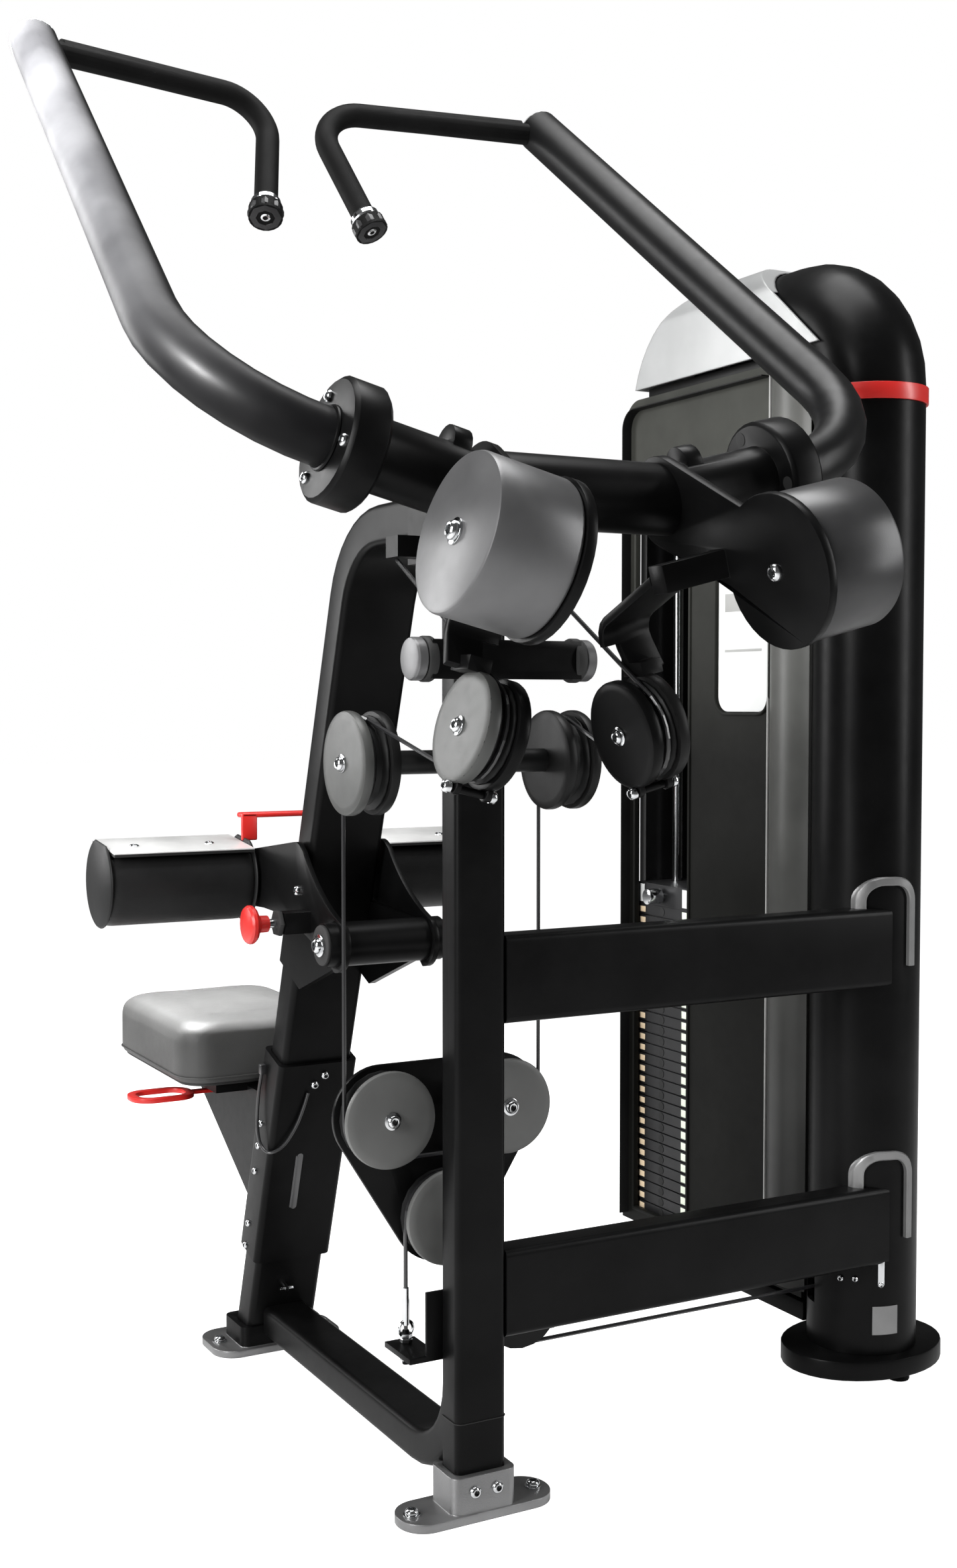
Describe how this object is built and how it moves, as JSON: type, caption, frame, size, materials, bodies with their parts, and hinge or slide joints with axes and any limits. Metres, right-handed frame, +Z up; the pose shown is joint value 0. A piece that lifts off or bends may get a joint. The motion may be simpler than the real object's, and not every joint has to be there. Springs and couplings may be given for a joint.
{
  "type": "lat pulldown machine",
  "caption": "Plate-stack lat pulldown machine with diverging lever arms, seat, thigh pads, cable pulleys and a shrouded weight tower beside the frame.",
  "frame": {"origin": "middle of the underside of the front foot, at floor level", "axes": "+Z up, +X from the column to the weight tower, +Y from the column to the seat"},
  "size_m": [1.3836, 1.697, 2.1035],
  "materials": {
    "frame_paint": "satin near-black powder coat",
    "weight_paint": "satin dark grey",
    "cast_foot": "silver-grey paint over a cast surface",
    "bright_steel": "polished",
    "pulley_plastic": "moulded, lightly textured",
    "shroud_plastic": "fine texture",
    "silver_plastic": "silver, semi-gloss",
    "red_trim": "red, semi-gloss",
    "vinyl": "upholstery vinyl over foam",
    "grip_foam": "matte foam grip over a steel bar",
    "stack_iron": "black paint",
    "coated_cable": "black coating on steel rope"
  },
  "bodies": {
    "frame": {"main_column": "frame_paint", "front_foot": "cast_foot", "rear_foot": "cast_foot", "seat_column": "frame_paint", "cross_tube": "frame_paint", "bumper_bar": "frame_paint", "pulley_bar": "pulley_plastic", "upper_rail": "frame_paint", "lower_rail": "frame_paint", "cable_anchor": "frame_paint", "tower_arch": "frame_paint", "tower_band": "red_trim", "tower_base": "frame_paint", "rear_post": "frame_paint", "stack_base": "frame_paint", "inner_shroud": "shroud_plastic", "outer_shroud": "shroud_plastic", "placard": "silver_plastic", "top_cover": "silver_plastic", "front_guide_rod": "bright_steel", "back_guide_rod": "bright_steel", "lower_stack": "stack_iron", "left_arm_cable": "coated_cable", "right_arm_cable": "coated_cable", "block_cable": "coated_cable", "lift_cable": "coated_cable", "tower_cable": "coated_cable", "stack_cable": "coated_cable"},
    "left_arm": {"left_hub": "frame_paint", "left_arm_tube": "frame_paint", "left_handle": "grip_foam", "left_counterweight": "weight_paint", "left_swing_bar": "frame_paint"},
    "left_arm_wheel": {"left_arm_wheel": "pulley_plastic"},
    "left_guide_wheel": {"left_guide_wheel": "pulley_plastic"},
    "left_block_wheel": {"left_block_wheel": "pulley_plastic"},
    "right_arm": {"right_hub": "frame_paint", "right_arm_tube": "frame_paint", "right_handle": "grip_foam", "right_counterweight": "weight_paint", "right_swing_bar": "frame_paint"},
    "right_arm_wheel": {"right_arm_wheel": "pulley_plastic"},
    "right_guide_wheel": {"right_guide_wheel": "pulley_plastic"},
    "right_block_wheel": {"right_block_wheel": "pulley_plastic"},
    "floating_block": {"floating_block": "frame_paint"},
    "low_block_wheel": {"low_block_wheel": "pulley_plastic"},
    "column_wheel": {"column_wheel": "pulley_plastic"},
    "base_wheel": {"base_wheel": "pulley_plastic"},
    "front_top_wheel": {"front_top_wheel": "pulley_plastic"},
    "back_top_wheel": {"back_top_wheel": "pulley_plastic"},
    "stack_head": {"stack_head": "stack_iron"},
    "selector_pin": {"selector_pin": "bright_steel"},
    "pull_pin": {"pull_pin": "red_trim"},
    "seat_lever": {"seat_lever": "red_trim"},
    "seat": {"seat_carriage": "frame_paint", "seat_pad": "vinyl"},
    "thigh_pads": {"thigh_bracket": "frame_paint", "left_thigh_pad": "vinyl", "right_thigh_pad": "vinyl", "thigh_handle": "red_trim"}
  },
  "joints": [
    {"name": "left_arm_turn", "type": "hinge", "parent": "frame", "child": "left_arm", "pos_m": [-0.146, -0.255, 1.352], "axis": [-0.9703, 0, 0.2419], "range_deg": [0, 40], "deforming": ["left_arm_cable"]},
    {"name": "right_arm_turn", "type": "hinge", "parent": "frame", "child": "right_arm", "pos_m": [0.146, -0.255, 1.352], "axis": [-0.9703, 0, -0.2419], "range_deg": [0, 40], "deforming": ["right_arm_cable"]},
    {"name": "block_lift", "type": "slide", "parent": "frame", "child": "floating_block", "axis": [0, 0, 1], "range_m": [0, 0.345], "deforming": ["block_cable", "lift_cable"]},
    {"name": "head_lift", "type": "slide", "parent": "frame", "child": "stack_head", "axis": [0, 0, 1], "range_m": [0, 0.69], "deforming": ["stack_cable"]},
    {"name": "pin_pull", "type": "slide", "parent": "stack_head", "child": "selector_pin", "axis": [-1, 0, 0], "range_m": [0, 0.02]},
    {"name": "left_arm_wheel_spin", "type": "hinge", "parent": "left_arm", "child": "left_arm_wheel", "pos_m": [-0.11332, -0.231, 1.06559], "axis": [-0.9703, 0, 0.2419], "continuous": true},
    {"name": "right_arm_wheel_spin", "type": "hinge", "parent": "right_arm", "child": "right_arm_wheel", "pos_m": [0.11332, -0.231, 1.06559], "axis": [-0.9703, 0, -0.2419], "continuous": true},
    {"name": "left_guide_wheel_spin", "type": "hinge", "parent": "frame", "child": "left_guide_wheel", "pos_m": [-0.152, 0.027, 1.021], "axis": [1, 0, 0], "continuous": true},
    {"name": "right_guide_wheel_spin", "type": "hinge", "parent": "frame", "child": "right_guide_wheel", "pos_m": [0.152, 0.027, 1.021], "axis": [1, 0, 0], "continuous": true},
    {"name": "left_block_wheel_spin", "type": "hinge", "parent": "floating_block", "child": "left_block_wheel", "pos_m": [-0.092, 0.087, 0.532], "axis": [0, 1, 0], "continuous": true},
    {"name": "right_block_wheel_spin", "type": "hinge", "parent": "floating_block", "child": "right_block_wheel", "pos_m": [0.092, 0.087, 0.532], "axis": [0, 1, 0], "continuous": true},
    {"name": "low_block_wheel_spin", "type": "hinge", "parent": "floating_block", "child": "low_block_wheel", "pos_m": [0, 0.087, 0.386], "axis": [0, -1, 0], "continuous": true},
    {"name": "column_wheel_spin", "type": "hinge", "parent": "frame", "child": "column_wheel", "pos_m": [0.12, 0.087, 0.24], "axis": [0, 1, 0], "continuous": true},
    {"name": "base_wheel_spin", "type": "hinge", "parent": "frame", "child": "base_wheel", "pos_m": [0.695, 0.087, 0.23], "axis": [0, 1, 0], "continuous": true},
    {"name": "front_top_wheel_spin", "type": "hinge", "parent": "frame", "child": "front_top_wheel", "pos_m": [0.745, 0.123, 1.66], "axis": [1, 0, 0], "continuous": true},
    {"name": "back_top_wheel_spin", "type": "hinge", "parent": "frame", "child": "back_top_wheel", "pos_m": [0.745, 0.504, 1.66], "axis": [1, 0, 0], "continuous": true},
    {"name": "thigh_turn", "type": "hinge", "parent": "frame", "child": "thigh_pads", "pos_m": [0, 0.29, 0.745], "axis": [1, 0, 0], "range_deg": [-8, 20]},
    {"name": "pull_pin_slide", "type": "slide", "parent": "thigh_pads", "child": "pull_pin", "axis": [-1, 0, 0], "range_m": [0, 0.012], "stiffness_N_per_m": 1500, "springref_m": -0.004},
    {"name": "seat_slide", "type": "slide", "parent": "frame", "child": "seat", "axis": [0, -0.3177, 0.9482], "range_m": [-0.03, 0.08]},
    {"name": "lever_lift", "type": "hinge", "parent": "seat", "child": "seat_lever", "pos_m": [-0.034, 0.89, 0.412], "axis": [0, 1, 0], "range_deg": [0, 12], "stiffness_Nm_per_rad": 5, "springref_deg": -5.73}
  ],
  "couplings": [
    {"joint": "right_arm_turn", "follows": "left_arm_turn", "ratio": 1},
    {"joint": "block_lift", "follows": "left_arm_turn", "m_per_rad": 0.487},
    {"joint": "head_lift", "follows": "left_arm_turn", "m_per_rad": 0.974},
    {"joint": "left_arm_wheel_spin", "follows": "left_arm_turn", "ratio": 4.0583},
    {"joint": "right_arm_wheel_spin", "follows": "left_arm_turn", "ratio": 4.0583},
    {"joint": "left_guide_wheel_spin", "follows": "left_arm_turn", "ratio": 8.1167},
    {"joint": "right_guide_wheel_spin", "follows": "left_arm_turn", "ratio": 8.1167},
    {"joint": "low_block_wheel_spin", "follows": "left_arm_turn", "ratio": 8.1167},
    {"joint": "column_wheel_spin", "follows": "left_arm_turn", "ratio": 16.233},
    {"joint": "base_wheel_spin", "follows": "left_arm_turn", "ratio": 19.48},
    {"joint": "front_top_wheel_spin", "follows": "left_arm_turn", "ratio": 27.056},
    {"joint": "back_top_wheel_spin", "follows": "left_arm_turn", "ratio": 27.056}
  ]
}
